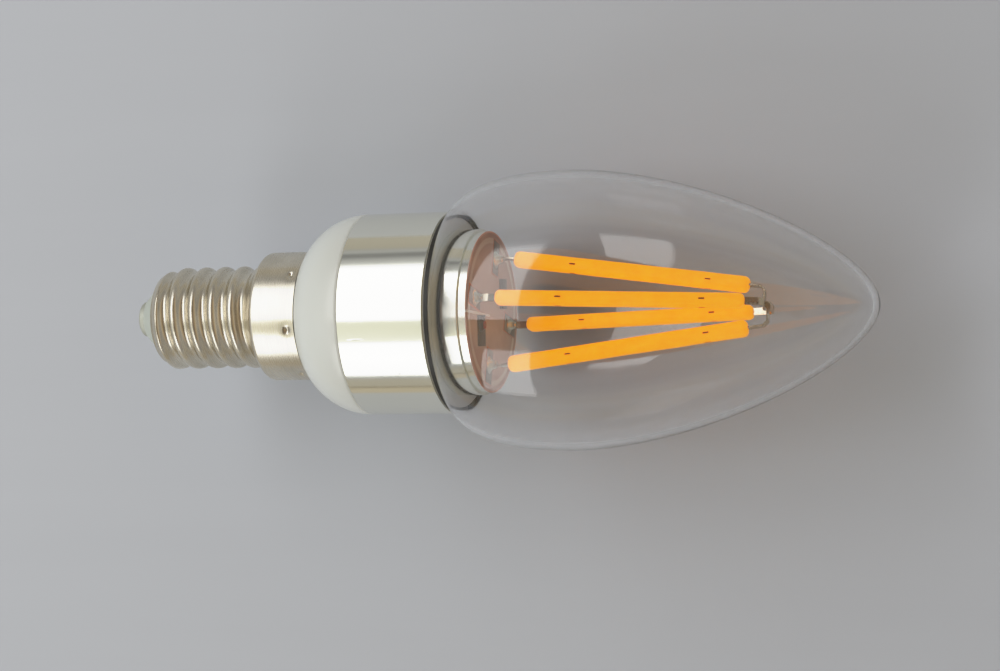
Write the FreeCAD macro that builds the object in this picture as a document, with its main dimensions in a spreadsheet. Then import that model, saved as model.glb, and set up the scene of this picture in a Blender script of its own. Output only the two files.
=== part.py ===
import FreeCAD, Part
import Sketcher
import math
import os
from FreeCAD import Placement, Rotation, Vector

# Candle bulb with a small screw cap and four LED filaments.
# Millimetres. +X runs along the bulb's axis from the end contact to the tip,
# and the origin is the centre of the end contact's outer face.

doc = FreeCAD.newDocument("candle_bulb")
sheet = doc.addObject("Spreadsheet::Sheet", "sizes")

# Driving sizes, with what each one is
DRIVING = [
    ("contact_radius", 2.4, "end contact's head"),
    ("contact_height", 1.0, "end contact's head"),
    ("contact_edge", 0.35, "rounding of the head's rim"),
    ("shank_radius", 0.9, "contact's rivet shank"),
    ("fit_gap", 0.05, "gap of parts that fit into each other"),
    ("plug_nose_radius", 3.0, "insulating plug beside the contact"),
    ("plug_nose_height", 2.6, "plug outside the shell"),
    ("plug_body_length", 2.2, "plug inside the shell"),
    ("lip_radius", 5.5, "hole in the shell's end"),
    ("sheet_wall", 0.3, "shell's sheet"),
    ("thread_radius", 6.9, "over the thread's crests"),
    ("thread_depth", 0.75, "crest to root"),
    ("thread_pitch", 2.822, "standard pitch of the small cap"),
    ("thread_clocking", -32.0, "turns the crests to where they lie"),
    ("thread_fade", 1.3, "length in which the thread rises at the end"),
    ("nose_break", 0.25, "broken edge at the shell's end"),
    ("thread_zone", 14.1, "shell's end to the shoulder"),
    ("shoulder_length", 1.7, "cone between thread and skirt"),
    ("skirt_radius", 8.6, "outside of the skirt"),
    ("skirt_length", 6.4, "skirt's straight length"),
    ("stake_count", 7, "punched stakes round the skirt"),
    ("stake_radius", 0.75, "stake at the surface"),
    ("stake_depth", 0.6, "stake's depth"),
    ("stake_inset", 1.2, "stake's centre to the rim"),
    ("stake_clocking", 51.5, "angle of the first stake from +Y towards +Z"),
    ("rim_gap", 0.12, "shadow gap between rim and dome"),
    ("neck_length", 5.0, "plastic neck inside the skirt"),
    ("neck_wall", 1.2, "plastic neck"),
    ("dome_length", 7.6, "white dome"),
    ("dome_round", 9.0, "radius of the dome's curve"),
    ("dome_wall", 1.5, "white dome"),
    ("sleeve_length", 9.4, "plastic sleeve inside the heat sink"),
    ("sleeve_wall", 1.0, "plastic sleeve"),
    ("ring_radius", 13.3, "outside of the aluminium ring"),
    ("ring_length", 11.75, "visible length of the aluminium ring"),
    ("ring_wall", 1.6, "aluminium ring"),
    ("shelf_thickness", 1.5, "shelf that joins ring and step"),
    ("step_radius", 10.9, "smaller step inside the cover"),
    ("step_length", 3.9, "shelf to the step's face"),
    ("step_wall", 1.4, "wall of the step"),
    ("floor_thickness", 1.2, "step's end wall"),
    ("edge_break", 0.15, "turned edges"),
    ("board_radius", 10.58, "LED board"),
    ("board_thickness", 1.13, "LED board without its pads"),
    ("pad_thickness", 0.07, "copper pads"),
    ("pad_width", 2.6, "filament pads, across"),
    ("pad_length", 4.4, "filament pads, along the radius"),
    ("seal_thickness", 0.75, "sealant under the cover's foot"),
    ("seal_inset", 0.12, "sealant inside the ring's edge"),
    ("cover_wall", 0.9, "clear cover"),
    ("cover_foot_radius", 13.45, "cover at its foot"),
    ("cover_belly_radius", 18.12, "cover at its widest"),
    ("cover_belly_place", 14.7, "foot to the widest place"),
    ("cover_length", 54.7, "cover from its foot to the tip"),
    ("cover_foot_angle", 68, "how steeply the cover leaves its foot"),
    ("cover_foot_reach", 4.0, "how far that direction carries"),
    ("cover_rear_reach", 6.5, "fullness of the belly towards the foot"),
    ("cover_front_reach", 17.0, "fullness of the belly towards the tip"),
    ("cover_tip_fullness", 7.0, "bluntness of the tip"),
    ("filament_length", 31.2, "coated length, measured along the axis"),
    ("filament_foot_height", 2.6, "board's face to the coated part"),
    ("filament_foot_offset", 7.1, "lower end's distance from the axis"),
    ("filament_head_offset", 2.78, "upper end's distance from the axis"),
    ("filament_depth", 2.3, "section towards the axis"),
    ("filament_width", 2.05, "section across"),
    ("filament_round", 0.7, "rounding of the coat"),
    ("filament_clocking", -14.1, "first filament's angle from +Y towards +Z"),
    ("tab_width", 0.95, "metal tabs"),
    ("tab_thickness", 0.25, "metal tabs"),
    ("tab_rise", 1.95, "coated end to the first tab's cross leg"),
    ("tab_knee", 0.9, "lower tab's bend below the coated end"),
    ("solder_radius", 1.15, "solder joint on its pad"),
    ("solder_top_radius", 0.63, "solder joint round the tab"),
    ("solder_height", 1.0, "solder joint"),
    ("driver_thickness", 1.0, "driver board"),
    ("driver_top", -0.5, "height of the driver board's upper face"),
    ("driver_start", 11.0, "driver board's end in the cap"),
    ("driver_inset", 0.6, "driver board's other end inside the sleeve"),
    ("driver_tongue", 10.0, "width of the board's tongue"),
    ("driver_gap", 0.15, "driver board's corner to the sleeve"),
    ("driver_margin", 0.6, "parts to the driver board's ends"),
    ("capacitor_radius", 4.0, "smoothing capacitor"),
    ("capacitor_length", 11.0, "smoothing capacitor"),
    ("capacitor_inset", 6.092, "its axis from the driver board's edge"),
    ("choke_radius", 3.5, "choke under the board"),
    ("choke_height", 6.5, "choke under the board"),
    ("rectifier_length", 4.7, "bridge rectifier"),
    ("rectifier_width", 3.9, "bridge rectifier"),
    ("rectifier_height", 2.0, "bridge rectifier"),
    ("chip_length", 4.9, "driver chip"),
    ("chip_width", 3.0, "driver chip"),
    ("chip_height", 1.4, "driver chip"),
    ("chip_inset", 5.392, "rectifier and chip from the driver board's edge"),
    ("leg_width", 0.4, "chip's legs"),
    ("leg_thickness", 0.25, "chip's legs"),
    ("leg_reach", 0.9, "chip's legs beyond its body"),
    ("resistor_radius", 1.2, "fuse resistor"),
    ("resistor_length", 6.0, "fuse resistor"),
    ("resistor_inset", 4.0, "fuse resistor from the driver board's end"),
    ("lead_radius", 0.28, "component leads"),
    ("lead_reach", 1.4, "resistor's body to its bent leads"),
    ("mains_wire_radius", 0.6, "wires from the cap"),
    ("led_wire_radius", 0.5, "wires to the LED board"),
    ("wire_hole_radius", 0.8, "holes for them"),
    ("wire_hole_y", -1.7, "hole's place on the LED board"),
    ("wire_hole_z", 4.8, "hole's place on the LED board"),
]

# Sizes that follow from the ones above
DERIVED = [
    ("contact_face_radius", "contact_radius - contact_edge"),
    ("plug_nose_end", "contact_height + plug_nose_height"),
    ("plug_end", "plug_nose_end + plug_body_length"),
    ("plug_bore", "shank_radius + fit_gap"),
    ("shell_start", "plug_nose_end"),
    ("shank_end", "plug_end + 0.6 * plug_body_length"),
    ("root_radius", "thread_radius - thread_depth"),
    ("core_radius", "root_radius + 0.04"),
    ("core_bore", "core_radius - sheet_wall"),
    ("plug_neck_radius", "lip_radius - fit_gap"),
    ("plug_body_radius", "core_bore - 4 * fit_gap"),
    ("plug_shoulder", "shell_start + sheet_wall + 2 * fit_gap"),
    ("shoulder_start", "shell_start + thread_zone"),
    ("skirt_start", "shoulder_start + shoulder_length"),
    ("rim", "skirt_start + skirt_length"),
    ("skirt_bore", "skirt_radius - sheet_wall"),
    ("neck_start", "rim - neck_length"),
    ("neck_radius", "skirt_bore - fit_gap"),
    ("neck_bore", "neck_radius - neck_wall"),
    ("dome_start", "rim + rim_gap"),
    ("dome_end", "dome_start + dome_length"),
    ("dome_centre", "ring_radius - dome_round"),
    ("dome_foot_radius", "dome_centre + sqrt(dome_round ^ 2 - dome_length ^ 2)"),
    ("dome_bore_round", "dome_round - dome_wall"),
    ("sink_bore", "ring_radius - ring_wall"),
    ("sleeve_radius", "sink_bore - fit_gap"),
    ("sleeve_bore", "sleeve_radius - sleeve_wall"),
    ("sleeve_end", "dome_end + sleeve_length"),
    ("dome_bore_start", "dome_end - sqrt(dome_bore_round ^ 2 - (neck_bore - dome_centre) ^ 2)"),
    ("dome_bore_end", "dome_end - sqrt(dome_bore_round ^ 2 - (sleeve_bore - dome_centre) ^ 2)"),
    ("ring_start", "dome_end"),
    ("shelf", "ring_start + ring_length"),
    ("shelf_back", "shelf - shelf_thickness"),
    ("step_face", "shelf + step_length"),
    ("floor_back", "step_face - floor_thickness"),
    ("step_bore", "step_radius - step_wall"),
    ("ring_edge_radius", "ring_radius - edge_break"),
    ("ring_edge_start", "ring_start + edge_break"),
    ("ring_edge_end", "shelf - edge_break"),
    ("step_edge_radius", "step_radius - edge_break"),
    ("step_edge", "step_face - edge_break"),
    ("board_face", "step_face + board_thickness"),
    ("pad_face", "board_face + pad_thickness"),
    ("seal_bore", "step_radius + fit_gap"),
    ("seal_radius", "ring_radius - seal_inset"),
    ("cover_foot", "shelf + seal_thickness"),
    ("cover_tip", "cover_foot + cover_length"),
    ("filament_foot", "pad_face + filament_foot_height"),
    ("filament_head", "filament_foot + filament_length"),
    ("driver_end", "sleeve_end - driver_inset"),
    ("driver_bottom", "driver_top - driver_thickness"),
    ("driver_wide_start", "dome_bore_end + driver_gap * 2"),
    ("driver_width", "2 * sqrt((sleeve_bore - driver_gap) ^ 2 - driver_bottom ^ 2)"),
    ("capacitor_start", "driver_end - capacitor_length - driver_margin"),
    ("capacitor_level", "driver_top + capacitor_radius"),
    ("capacitor_offset", "driver_width / 2 - capacitor_inset"),
    ("chip_offset", "driver_width / 2 - chip_inset"),
    ("choke_place", "(driver_wide_start + driver_end) / 2"),
    ("chip_start", "driver_end - chip_length - driver_margin"),
    ("rectifier_start", "driver_wide_start + driver_margin"),
    ("resistor_start", "driver_start + resistor_inset"),
    ("resistor_level", "driver_top + resistor_radius"),
]

for row, (alias, number, meaning) in enumerate(DRIVING, start=1):
    sheet.set(f"A{row}", meaning)
    sheet.set(f"B{row}", str(number))
    sheet.setAlias(f"B{row}", alias)
for row, (alias, formula) in enumerate(DERIVED, start=len(DRIVING) + 1):
    sheet.set(f"B{row}", "=" + formula)
    sheet.setAlias(f"B{row}", alias)
doc.recompute()


def size(alias):
    """A size from the sheet, as a plain number."""
    return float(getattr(sheet, alias))


def tie(thing, prop, formula):
    """Bind a property to sizes in the sheet. Every word in the formula is an alias."""
    thing.setExpression(prop, formula)


ALONG_X = Rotation(Vector(0, 1, 0), 90)
AXIS_X = Vector(1, 0, 0)


# Turned pieces: a closed half section, revolved about the bulb's axis

def turned(name, outline, arcs=None):
    """outline holds (station, radius) aliases, with None for the axis or for station zero.
    arcs maps a segment's number to (radius alias, side), side 1 bulging away from the axis."""
    arcs = arcs or {}
    body = doc.addObject("PartDesign::Body", name)
    body.Label = name
    sketch = body.newObject("Sketcher::SketchObject", name + "_section")
    plane = [p for p in body.Origin.OriginFeatures if p.Role == "XY_Plane"][0]
    sketch.AttachmentSupport = [(plane, "")]
    sketch.MapMode = "FlatFace"
    points = []
    for station, radius in outline:
        points.append(Vector(size(station) if station else 0, size(radius) if radius else 0, 0))
    ends = []
    for number, start in enumerate(points):
        end = points[(number + 1) % len(points)]
        if number in arcs:
            alias, side = arcs[number]
            half = (end - start) / 2
            middle = start + half
            rise = size(alias) - math.sqrt(size(alias) ** 2 - half.Length ** 2)
            normal = Vector(-half.y, half.x, 0).normalize()
            if normal.y < 0:
                normal = normal * -1
            edge = Part.Arc(start, middle + normal * rise * side, end)
        else:
            edge = Part.LineSegment(start, end)
        geometry = sketch.addGeometry(edge, False)
        first = 1 if sketch.getPoint(geometry, 1).distanceToPoint(start) < 1e-6 else 2
        ends.append((geometry, first, 3 - first))
    for number, (geometry, first, last) in enumerate(ends):
        following = ends[(number + 1) % len(ends)]
        sketch.addConstraint(Sketcher.Constraint("Coincident", geometry, last, following[0], following[1]))
    for (station, radius), (geometry, first, last) in zip(outline, ends):
        for kind, alias, axis in (("DistanceX", station, -2), ("DistanceY", radius, -1)):
            if alias:
                rule = Sketcher.Constraint(kind, -1, 1, geometry, first, size(alias))
                index = sketch.addConstraint(rule)
                tie(sketch, f"Constraints[{index}]", f"sizes.{alias}")
            else:
                sketch.addConstraint(Sketcher.Constraint("PointOnObject", geometry, first, axis))
    for number, (alias, side) in arcs.items():
        index = sketch.addConstraint(Sketcher.Constraint("Radius", ends[number][0], size(alias)))
        tie(sketch, f"Constraints[{index}]", f"sizes.{alias}")
    turning = body.newObject("PartDesign::Revolution", name + "_turned")
    turning.Profile = sketch
    turning.ReferenceAxis = (sketch, ["H_Axis"])
    turning.Angle = 360
    sketch.Visibility = False
    return body


def rod(name, station, radius, length, y=None, z=None):
    """A cylinder along the bulb's axis, from the given station."""
    cylinder = doc.addObject("Part::Cylinder", name)
    tie(cylinder, "Radius", radius)
    tie(cylinder, "Height", length)
    cylinder.Placement = Placement(Vector(0, 0, 0), ALONG_X)
    tie(cylinder, "Placement.Base.x", station)
    if y:
        tie(cylinder, "Placement.Base.y", y)
    if z:
        tie(cylinder, "Placement.Base.z", z)
    return cylinder


def block(name, spans):
    """A box from six formulas: start and length along X, Y and Z."""
    box = doc.addObject("Part::Box", name)
    for axis, prop, (start, length) in zip("xyz", ("Length", "Width", "Height"), spans):
        tie(box, prop, length)
        tie(box, f"Placement.Base.{axis}", start)
    return box


def joined(name, base, pieces):
    union = doc.addObject("Part::MultiFuse", name)
    union.Shapes = [base] + pieces
    union.Refine = True
    union.Label = name
    return union


def cut(name, base, tool):
    result = doc.addObject("Part::Cut", name)
    result.Base = base
    result.Tool = tool
    result.Label = name
    return result


def feature(name, shape, turn=None):
    """A free form that no primitive or section gives, turned about the bulb's axis if asked."""
    result = doc.addObject("Part::Feature", name)
    result.Shape = shape
    result.Label = name
    if turn:
        result.Placement = Placement(Vector(0, 0, 0), turn).multiply(result.Placement)
    return result


# End contact and insulating plug

turned("centre_contact", [
    (None, None), (None, "contact_face_radius"), ("contact_edge", "contact_radius"),
    ("contact_height", "contact_radius"), ("contact_height", "shank_radius"),
    ("shank_end", "shank_radius"), ("shank_end", None)], arcs={1: ("contact_edge", 1)})

turned("cap_insulator", [
    ("contact_height", "plug_bore"), ("contact_height", "plug_nose_radius"),
    ("shell_start", "plug_neck_radius"), ("plug_shoulder", "plug_neck_radius"),
    ("plug_shoulder", "plug_body_radius"), ("plug_end", "plug_body_radius"),
    ("plug_end", "plug_bore")])


# Screw shell: one sheet, rolled into a round thread and drawn out to a skirt

# The helical sweep starts this many degrees round from the turned faces' seams, clear of them.
# The finished shell is then turned as a whole to the thread's own clocking.
SWEEP_START = -22.75


def thread_ridge(shrink):
    """The thread's ridge, as a helical sweep about +X. shrink moves its surface towards the axis.
    It is a little narrower than the pitch, so that its turns don't touch, and its foot is sunk
    into the barrel below."""
    ridge_share = 0.93
    sunk = 0.4
    pitch = size("thread_pitch")
    depth = size("thread_depth")
    crest = size("thread_radius") - shrink
    root = size("root_radius") - shrink
    half_pitch = pitch / 2
    bend = (half_pitch ** 2 + depth ** 2) / (4 * depth)
    foot = ridge_share * half_pitch
    foot_height = root + bend - math.sqrt(bend ** 2 - (half_pitch - foot) ** 2)
    quarter = Vector((crest + root) / 2, 0, half_pitch / 2)
    lean = math.asin(half_pitch / 2 / bend) / 2
    crest_middle = Vector(crest - bend + bend * math.cos(lean), 0, bend * math.sin(lean))
    turn_back = (math.asin((half_pitch - foot) / bend) + math.asin(half_pitch / 2 / bend)) / 2
    root_middle = Vector(root + bend - bend * math.cos(turn_back), 0,
                         half_pitch - bend * math.sin(turn_back))
    corner = Vector(foot_height, 0, foot)
    under = Vector(root - sunk, 0, foot)

    def mirrored(point):
        return Vector(point.x, 0, -point.z)

    top = Vector(crest, 0, 0)
    edges = [
        Part.Arc(mirrored(quarter), top, quarter).toShape(),
        Part.Arc(quarter, root_middle, corner).toShape(),
        Part.LineSegment(corner, under).toShape(),
        Part.LineSegment(under, mirrored(under)).toShape(),
        Part.LineSegment(mirrored(under), mirrored(corner)).toShape(),
        Part.Arc(mirrored(corner), mirrored(root_middle), mirrored(quarter)).toShape(),
    ]
    section = Part.Wire(Part.__sortEdges__(edges))
    start = size("shell_start") - pitch
    height = size("skirt_start") + half_pitch - start
    spine = Part.makeHelix(pitch, height, crest)
    ridge = Part.Wire(spine.Edges).makePipeShell([section], True, True)
    ridge.rotate(Vector(0, 0, 0), Vector(0, 1, 0), 90)
    ridge.rotate(Vector(0, 0, 0), AXIS_X, SWEEP_START)
    ridge.translate(Vector(start, 0, 0))
    return ridge


def lathe(points):
    """A solid from (station, radius) numbers, revolved about the axis."""
    corners = [Vector(x, r, 0) for x, r in points]
    face = Part.Face(Part.makePolygon(corners + [corners[0]]))
    return face.revolve(Vector(0, 0, 0), AXIS_X, 360)


def shell_form(shrink, start, rim):
    """The shell's outer or inner surface as a solid, from the start station to the rim.
    The threaded part and the bell overlap by the two small lengths, so that they join cleanly."""
    clear = 0.2
    overlap = 0.6
    core = size("core_radius") - shrink
    crest = size("thread_radius") - shrink
    nose = size("nose_break")
    shoulder = size("shoulder_start")
    skirt_start = size("skirt_start")
    skirt = size("skirt_radius") - shrink
    barrel_end = skirt_start - clear / 2
    envelope = lathe([(start, 0), (start, core - nose), (start + nose, core),
                      (start + size("thread_fade"), crest + clear), (skirt_start, crest + clear),
                      (skirt_start, 0)])
    barrel = lathe([(start - 1, 0), (start - 1, core), (barrel_end, core), (barrel_end, 0)])
    threaded = barrel.fuse(thread_ridge(shrink)).common(envelope)
    bell = lathe([(shoulder - overlap, 0), (shoulder - overlap, core - overlap / 2), (shoulder, core),
                  (skirt_start, skirt), (rim, skirt), (rim, 0)])
    return threaded.fuse(bell)


def stakes(grow):
    """Punched cones round the skirt, grown by a wall or a gap. Each starts above the skirt
    and ends in a small flat."""
    radius = size("stake_radius") + grow
    depth = size("stake_depth") + grow
    above = 1.0
    flat_share = 0.1
    slope = radius / depth
    station = size("rim") - size("stake_inset")
    count = int(size("stake_count"))
    cones = []
    for number in range(count):
        cone = Part.makeCone(radius + slope * above, flat_share * radius, (1 - flat_share) * depth + above)
        angle = size("stake_clocking") + number * 360 / count
        cone.translate(Vector(0, 0, -size("skirt_radius") - above))
        cone.rotate(Vector(0, 0, 0), AXIS_X, angle + 90)
        cone.translate(Vector(station, 0, 0))
        cones.append(cone)
    return cones


wall = size("sheet_wall")
shell_outside = shell_form(0, size("shell_start"), size("rim"))
shell_inside = shell_form(wall, size("shell_start") + wall, size("rim") + 1)
mouth = Part.makeCylinder(size("lip_radius"), 2, Vector(size("shell_start") - 1, 0, 0), AXIS_X)
shell_shape = shell_outside.cut(shell_inside).cut(mouth)
thread_middle = (size("thread_radius") + size("root_radius") - wall) / 2
skirt_middle = size("skirt_radius") - wall / 2
sheet_moment = (thread_middle * size("thread_zone") + skirt_middle * size("skirt_length")
                + (thread_middle + skirt_middle) / 2 * size("shoulder_length"))
if abs(shell_shape.Volume / (math.tau * wall * sheet_moment) - 1) > 0.08:
    raise ValueError("the shell's volume isn't its wall times its length and girth")
sweep_turns = (size("shell_start") - size("thread_pitch")) / size("thread_pitch")
shell_shape.rotate(Vector(0, 0, 0), AXIS_X, size("thread_clocking") + 360 * sweep_turns - SWEEP_START)
inside_sheet = Part.makeCylinder(skirt_middle, size("rim"), Vector(0, 0, 0), AXIS_X)
bumps = [cone.common(inside_sheet) for cone in stakes(wall)]
shell_shape = shell_shape.fuse(bumps).cut(stakes(0))
feature("screw_shell", shell_shape)

# White plastic housing: a neck in the cap, the dome, and a sleeve that insulates the heat sink

turned("housing_turned", [
    ("neck_start", "neck_bore"), ("neck_start", "neck_radius"), ("dome_start", "neck_radius"),
    ("dome_start", "dome_foot_radius"), ("dome_end", "ring_radius"), ("dome_end", "sleeve_radius"),
    ("sleeve_end", "sleeve_radius"), ("sleeve_end", "sleeve_bore"), ("dome_bore_end", "sleeve_bore"),
    ("dome_bore_start", "neck_bore")],
    arcs={3: ("dome_round", 1), 8: ("dome_bore_round", 1)})
stake_pits = doc.addObject("Part::Feature", "stake_pits")
stake_pits.Shape = Part.makeCompound(stakes(wall + size("fit_gap")))
cut("housing", doc.housing_turned, stake_pits)

# Heat sink: a turned aluminium cup with a smaller step, drilled for the two wires

turned("heat_sink_turned", [
    ("ring_start", "sink_bore"), ("ring_start", "ring_edge_radius"), ("ring_edge_start", "ring_radius"),
    ("ring_edge_end", "ring_radius"), ("shelf", "ring_edge_radius"), ("shelf", "step_radius"),
    ("step_edge", "step_radius"), ("step_face", "step_edge_radius"), ("step_face", None),
    ("floor_back", None), ("floor_back", "step_bore"), ("shelf_back", "step_bore"),
    ("shelf_back", "sink_bore")])


def wire_holes(name, station, length):
    holes = []
    for number, sign in ((1, ""), (2, "-")):
        holes.append(rod(f"{name}_{number}", station, "sizes.wire_hole_radius", length,
                         f"{sign}sizes.wire_hole_y", f"{sign}sizes.wire_hole_z"))
    return joined(name, holes[0], holes[1:])


sink_holes = wire_holes("sink_holes", "sizes.floor_back - 1", "sizes.floor_thickness + 2")
cut("heat_sink", doc.heat_sink_turned, sink_holes)

turned("cover_seal", [
    ("shelf", "seal_bore"), ("shelf", "seal_radius"),
    ("cover_foot", "seal_radius"), ("cover_foot", "seal_bore")])


# Clear cover: a candle shape of even wall, open at its foot

def candle_outline(inset):
    """Half outline from foot to tip, as two curves that meet level at the belly.
    inset moves it inwards by the cover's wall."""
    foot = Vector(size("cover_foot"), size("cover_foot_radius") - inset, 0)
    belly = Vector(size("cover_foot") + size("cover_belly_place"), size("cover_belly_radius") - inset, 0)
    tip = Vector(size("cover_tip") - inset, 0, 0)
    slope = math.radians(size("cover_foot_angle"))
    foot_handle = foot + Vector(math.cos(slope), math.sin(slope), 0) * size("cover_foot_reach")
    rear_handle = belly - Vector(size("cover_rear_reach"), 0, 0)
    front_handle = belly + Vector(size("cover_front_reach"), 0, 0)
    tip_handle = tip + Vector(0, size("cover_tip_fullness") - inset / 2, 0)
    curves = []
    for poles in ([foot, foot_handle, rear_handle, belly], [belly, front_handle, tip_handle, tip]):
        curve = Part.BezierCurve()
        curve.setPoles(poles)
        curves.append(curve.toShape())
    return curves


cover_wall = size("cover_wall")
outer_curves = candle_outline(0)
inner_curves = candle_outline(cover_wall)
tip_line = Part.makeLine(Vector(size("cover_tip"), 0, 0), Vector(size("cover_tip") - cover_wall, 0, 0))
foot_line = Part.makeLine(Vector(size("cover_foot"), size("cover_foot_radius") - cover_wall, 0),
                          Vector(size("cover_foot"), size("cover_foot_radius"), 0))
cover_section = Part.Wire(Part.__sortEdges__(outer_curves + [tip_line] + inner_curves + [foot_line]))
feature("cover", Part.Face(cover_section).revolve(Vector(0, 0, 0), AXIS_X, 360))

# LED board with four filament pads, drilled for the wires

QUARTERS = range(4)
board_disc = rod("board_disc", "sizes.step_face", "sizes.board_radius", "sizes.board_thickness")
pads = []
for quarter in QUARTERS:
    pad = doc.addObject("Part::Box", f"pad_{quarter + 1}")
    tie(pad, "Length", "sizes.pad_thickness")
    tie(pad, "Width", "sizes.pad_length")
    tie(pad, "Height", "sizes.pad_width")
    inner_end = size("filament_foot_offset") - size("pad_length") / 2
    turn = Rotation(AXIS_X, size("filament_clocking") + 90 * quarter)
    start = Vector(size("board_face"), inner_end, -size("pad_width") / 2)
    pad.Placement = Placement(turn.multVec(start), turn)
    pads.append(pad)
board_whole = joined("board_whole", board_disc, pads)
board_holes = wire_holes("board_holes", "sizes.step_face - 1", "sizes.board_thickness + 2")
cut("led_board", board_whole, board_holes)


# Filaments: a coated bar with a metal tab at each end

def bar_between(low, high, width, depth, rounding):
    """A bar with rounded edges whose depth points away from the bulb's axis."""
    run = high - low
    bar = Part.makeBox(run.Length, depth, width, Vector(0, -depth / 2, -width / 2))
    bar = bar.makeFillet(rounding, bar.Edges)
    lean = math.degrees(math.atan2(run.y, run.x))
    bar.rotate(Vector(0, 0, 0), Vector(0, 0, 1), lean)
    bar.translate(low)
    return bar


def bent_strip(points, thickness, width):
    """A flat strip bent in the XY plane along (station, radius) points, with mitred bends."""
    path = [Vector(x, r, 0) for x, r in points]
    sides = []
    for side in (1, -1):
        line = []
        for number, point in enumerate(path):
            before = (point - path[number - 1]).normalize() if number else None
            after = (path[number + 1] - point).normalize() if number + 1 < len(path) else None
            before = before or after
            after = after or before
            mean = (Vector(-before.y, before.x, 0) + Vector(-after.y, after.x, 0)).normalize()
            stretch = 1 / mean.dot(Vector(-after.y, after.x, 0))
            line.append(point + mean * (side * thickness / 2 * stretch))
        sides.append(line)
    corners = sides[0] + sides[1][::-1]
    face = Part.Face(Part.makePolygon(corners + [corners[0]]))
    face.translate(Vector(0, 0, -width / 2))
    return face.extrude(Vector(0, 0, width))


foot_station = size("filament_foot")
head_station = size("filament_head")
foot_offset = size("filament_foot_offset")
head_offset = size("filament_head_offset")
lean_slope = (foot_offset - head_offset) / size("filament_length")
tab_width = size("tab_width")
tab_thickness = size("tab_thickness")
solder_spots = []
for quarter in QUARTERS:
    number = quarter + 1
    turn = Rotation(AXIS_X, size("filament_clocking") + 90 * quarter)
    low = Vector(foot_station, foot_offset, 0)
    high = Vector(head_station, head_offset, 0)
    bar = bar_between(low, high, size("filament_width"), size("filament_depth"), size("filament_round"))
    feature(f"filament_{number}", bar, turn)
    knee = foot_station - size("tab_knee")
    knee_offset = foot_offset + lean_slope * (foot_station - knee)
    foot_path = [(foot_station, foot_offset), (knee, knee_offset), (size("pad_face"), knee_offset)]
    foot = bent_strip(foot_path, tab_thickness, tab_width)
    foot = foot.cut(bar)
    feature(f"filament_foot_{number}", foot, turn)
    level = head_station + size("tab_rise") + quarter * tab_thickness
    bend = 2 * tab_thickness
    reach = head_offset - lean_slope * (level - bend - head_station)
    head_path = [(head_station, head_offset), (level - bend, reach), (level, reach - bend),
                 (level, -tab_width / 2)]
    head = bent_strip(head_path, tab_thickness, tab_width)
    head = head.cut(bar)
    feature(f"filament_head_{number}", head, turn)
    spot = Part.makeCone(size("solder_radius"), size("solder_top_radius"), size("solder_height"),
                         Vector(size("pad_face"), knee_offset, 0), AXIS_X)
    spot = spot.cut(foot)
    spot.rotate(Vector(0, 0, 0), AXIS_X, size("filament_clocking") + 90 * quarter)
    solder_spots.append(spot)
feature("solder_joints", Part.makeCompound(solder_spots))

# Driver: a board that slides into the housing, with its parts

driver_wide = block("driver_wide", [
    ("sizes.driver_wide_start", "sizes.driver_end - sizes.driver_wide_start"),
    ("-sizes.driver_width / 2", "sizes.driver_width"),
    ("sizes.driver_bottom", "sizes.driver_thickness")])
driver_tongue = block("driver_tongue", [
    ("sizes.driver_start", "sizes.driver_wide_start - sizes.driver_start + 1"),
    ("-sizes.driver_tongue / 2", "sizes.driver_tongue"),
    ("sizes.driver_bottom", "sizes.driver_thickness")])
joined("driver_board", driver_wide, [driver_tongue])

rod("smoothing_capacitor", "sizes.capacitor_start", "sizes.capacitor_radius", "sizes.capacitor_length",
    "sizes.capacitor_offset", "sizes.capacitor_level")

choke = doc.addObject("Part::Cylinder", "choke")
tie(choke, "Radius", "sizes.choke_radius")
tie(choke, "Height", "sizes.choke_height")
tie(choke, "Placement.Base.x", "sizes.choke_place")
tie(choke, "Placement.Base.z", "sizes.driver_bottom - sizes.choke_height")

block("bridge_rectifier", [
    ("sizes.rectifier_start", "sizes.rectifier_length"),
    ("-sizes.chip_offset - sizes.rectifier_width / 2", "sizes.rectifier_width"),
    ("sizes.driver_top", "sizes.rectifier_height")])

chip_body = block("chip_body", [
    ("sizes.chip_start", "sizes.chip_length"),
    ("-sizes.chip_offset - sizes.chip_width / 2", "sizes.chip_width"),
    ("sizes.driver_top + sizes.pad_thickness", "sizes.chip_height")])
chip_legs = []
LEGS_A_SIDE = 4
for leg in range(LEGS_A_SIDE):
    chip_legs.append(block(f"chip_leg_{leg + 1}", [
        (f"sizes.chip_start + sizes.chip_length * {(leg + 0.5) / LEGS_A_SIDE} - sizes.leg_width / 2",
         "sizes.leg_width"),
        ("-sizes.chip_offset - sizes.chip_width / 2 - sizes.leg_reach",
         "sizes.chip_width + 2 * sizes.leg_reach"),
        ("sizes.driver_top", "sizes.leg_thickness")]))
joined("driver_chip", chip_body, chip_legs)


# Wires and leads: straight runs joined by tangent arcs

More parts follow.
